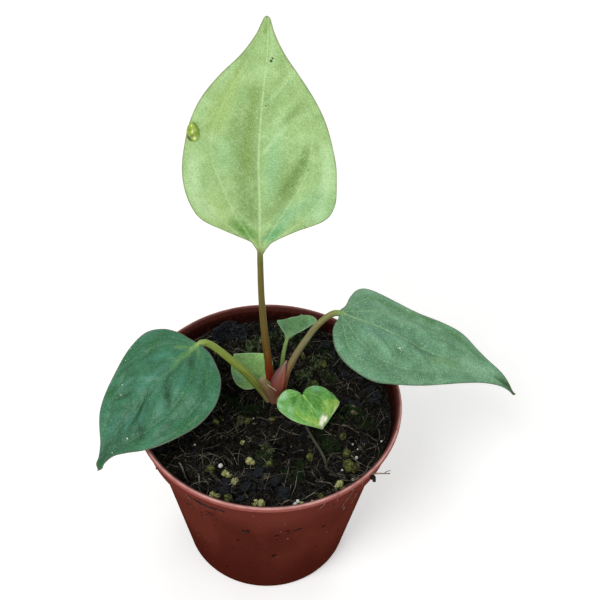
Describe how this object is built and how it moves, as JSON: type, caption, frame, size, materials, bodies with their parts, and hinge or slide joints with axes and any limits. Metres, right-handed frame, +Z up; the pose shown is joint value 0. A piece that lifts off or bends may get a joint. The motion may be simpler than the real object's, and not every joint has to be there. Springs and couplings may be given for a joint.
{
  "type": "potted anthurium",
  "caption": "Young velvet-leaved aroid with heart-shaped blades on slender stalks, rooted in dark growing mix in a tapered plastic nursery pot with a wide collar.",
  "frame": {"origin": "middle of the pot's underside, on the surface that the pot stands on", "axes": "+Z up, -Y towards the front of the picture, +X to the right; the upright leaf leans back towards +Y"},
  "size_m": [0.1843, 0.12, 0.2528],
  "materials": {
    "pot": "satin",
    "growing_mix": "matte",
    "crown": "satin",
    "petiole_left": "satin",
    "petiole_back": "satin",
    "petiole_right": "satin",
    "stalk_small": "satin",
    "stalk_front": "matte",
    "sheath_left": "matte",
    "sheath_right": "satin",
    "blade_back": "satin",
    "blade_left": "satin",
    "blade_right": "satin",
    "blade_small": "satin",
    "blade_front": "satin"
  },
  "bodies": {
    "root": {"pot": "pot", "growing_mix": "growing_mix", "crown": "crown", "petiole_left": "petiole_left", "petiole_back": "petiole_back", "petiole_right": "petiole_right", "stalk_small_left": "stalk_small", "stalk_small_back": "stalk_small", "stalk_front": "stalk_front", "sheath_left": "sheath_left", "sheath_right": "sheath_right", "blade_back": "blade_back", "blade_left": "blade_left", "blade_right": "blade_right", "blade_small_left": "blade_small", "blade_small_back": "blade_small", "blade_front": "blade_front"}
  },
  "joints": []
}
